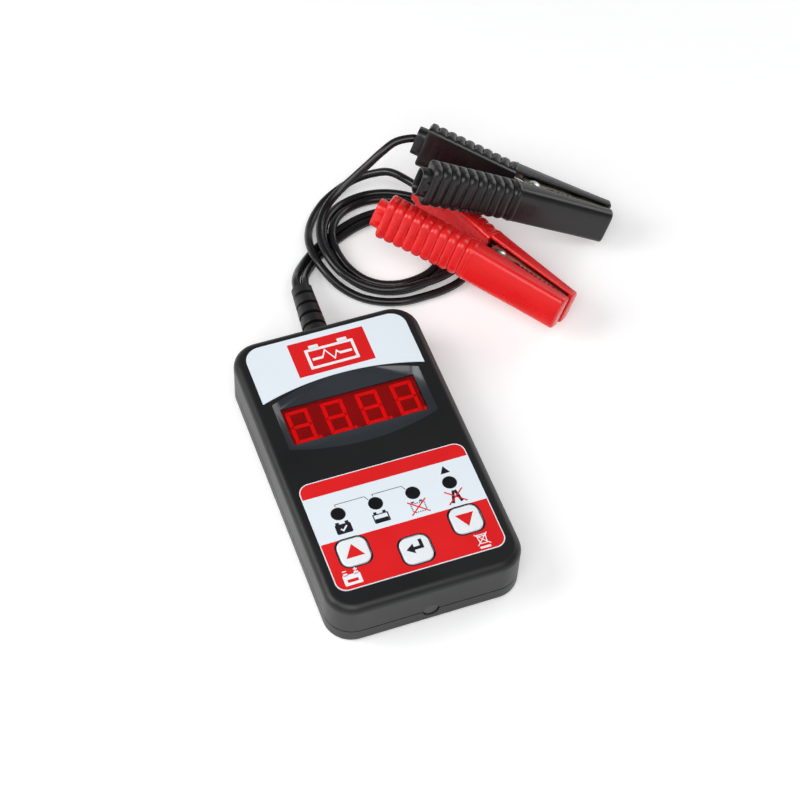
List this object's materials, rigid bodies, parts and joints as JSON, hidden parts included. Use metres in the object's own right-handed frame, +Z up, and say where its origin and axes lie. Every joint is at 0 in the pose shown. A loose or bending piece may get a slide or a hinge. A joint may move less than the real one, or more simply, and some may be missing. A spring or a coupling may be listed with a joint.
{
  "type": "battery tester",
  "caption": "Handheld battery tester with a slim two-shell case, a digit display, status lamps, keys and a twin lead ending in two spring clamps.",
  "frame": {"origin": "centre of the case's underside, on the surface it lies on", "axes": "+X across the case to the right as the display is read, +Y along the case to the end that the cable leaves, +Z up out of the face"},
  "size_m": [0.1627, 0.1947, 0.0469],
  "materials": {
    "case_plastic": "satin fine-textured ABS",
    "white_film": "printed polyester film, satin",
    "red_film": "printed polyester film, satin",
    "red_filter": "tinted clear acrylic",
    "display_body": "moulded reflector with diffusing segments",
    "board": "solder resist over glass fibre",
    "lamp_plastic": "clear epoxy",
    "lamp_window": "smoked window",
    "key_plastic": "moulded ABS, satin",
    "dark_plastic": "moulded",
    "ceramic": "fired ceramic body",
    "capacitor_sleeve": "shrink sleeve",
    "zinc_steel": "zinc plated",
    "jaw_steel": "brass-washed pressed steel",
    "brass": "crimped brass",
    "cable_pvc": "soft PVC, slight gloss",
    "relief_pvc": "moulded soft PVC",
    "red_boot": "moulded soft PVC",
    "black_boot": "moulded soft PVC"
  },
  "bodies": {
    "case": {"front_shell": "case_plastic", "rear_shell": "case_plastic", "upper_label": "white_film", "lower_label": "red_film", "display_filter": "red_filter", "display_module": "display_body", "circuit_board": "board", "lamp_windows": "lamp_window", "status_lamps": "lamp_plastic", "key_switches": "dark_plastic", "controller_chip": "dark_plastic", "capacitors": "capacitor_sleeve", "load_resistor": "ceramic", "case_screws": "zinc_steel", "end_plug": "dark_plastic", "strain_relief": "relief_pvc", "cable_tail": "cable_pvc", "supply_cable": "cable_pvc", "black_lead": "cable_pvc", "red_lead": "cable_pvc", "red_fixed_cover": "red_boot", "red_fixed_jaw": "jaw_steel", "red_rivet": "zinc_steel", "red_spring_leg": "zinc_steel", "red_crimp": "brass", "black_fixed_cover": "black_boot", "black_fixed_jaw": "jaw_steel", "black_rivet": "zinc_steel", "black_spring_leg": "zinc_steel", "black_crimp": "brass"},
    "up_button": {"up_key": "key_plastic", "up_plunger": "dark_plastic"},
    "enter_button": {"enter_key": "key_plastic", "enter_plunger": "dark_plastic"},
    "down_button": {"down_key": "key_plastic", "down_plunger": "dark_plastic"},
    "red_lever": {"red_moving_cover": "red_boot", "red_moving_jaw": "jaw_steel", "red_spring": "zinc_steel"},
    "black_lever": {"black_moving_cover": "black_boot", "black_moving_jaw": "jaw_steel", "black_spring": "zinc_steel"}
  },
  "joints": [
    {"name": "up_press", "type": "slide", "parent": "case", "child": "up_button", "axis": [0, 0, -1], "range_m": [0, 0.0005], "stiffness_N_per_m": 300},
    {"name": "enter_press", "type": "slide", "parent": "case", "child": "enter_button", "axis": [0, 0, -1], "range_m": [0, 0.0005], "stiffness_N_per_m": 300},
    {"name": "down_press", "type": "slide", "parent": "case", "child": "down_button", "axis": [0, 0, -1], "range_m": [0, 0.0005], "stiffness_N_per_m": 300},
    {"name": "red_squeeze", "type": "hinge", "parent": "case", "child": "red_lever", "pos_m": [0.0728, 0.0686, 0.0151], "axis": [-0.4056, -0.1659, -0.8989], "range_deg": [0, 25], "stiffness_Nm_per_rad": 1, "springref_deg": -17.19},
    {"name": "black_squeeze", "type": "hinge", "parent": "case", "child": "black_lever", "pos_m": [0.0956, 0.0923, 0.0199], "axis": [-0.4114, -0.1908, -0.8912], "range_deg": [0, 25], "stiffness_Nm_per_rad": 1, "springref_deg": -17.19}
  ]
}
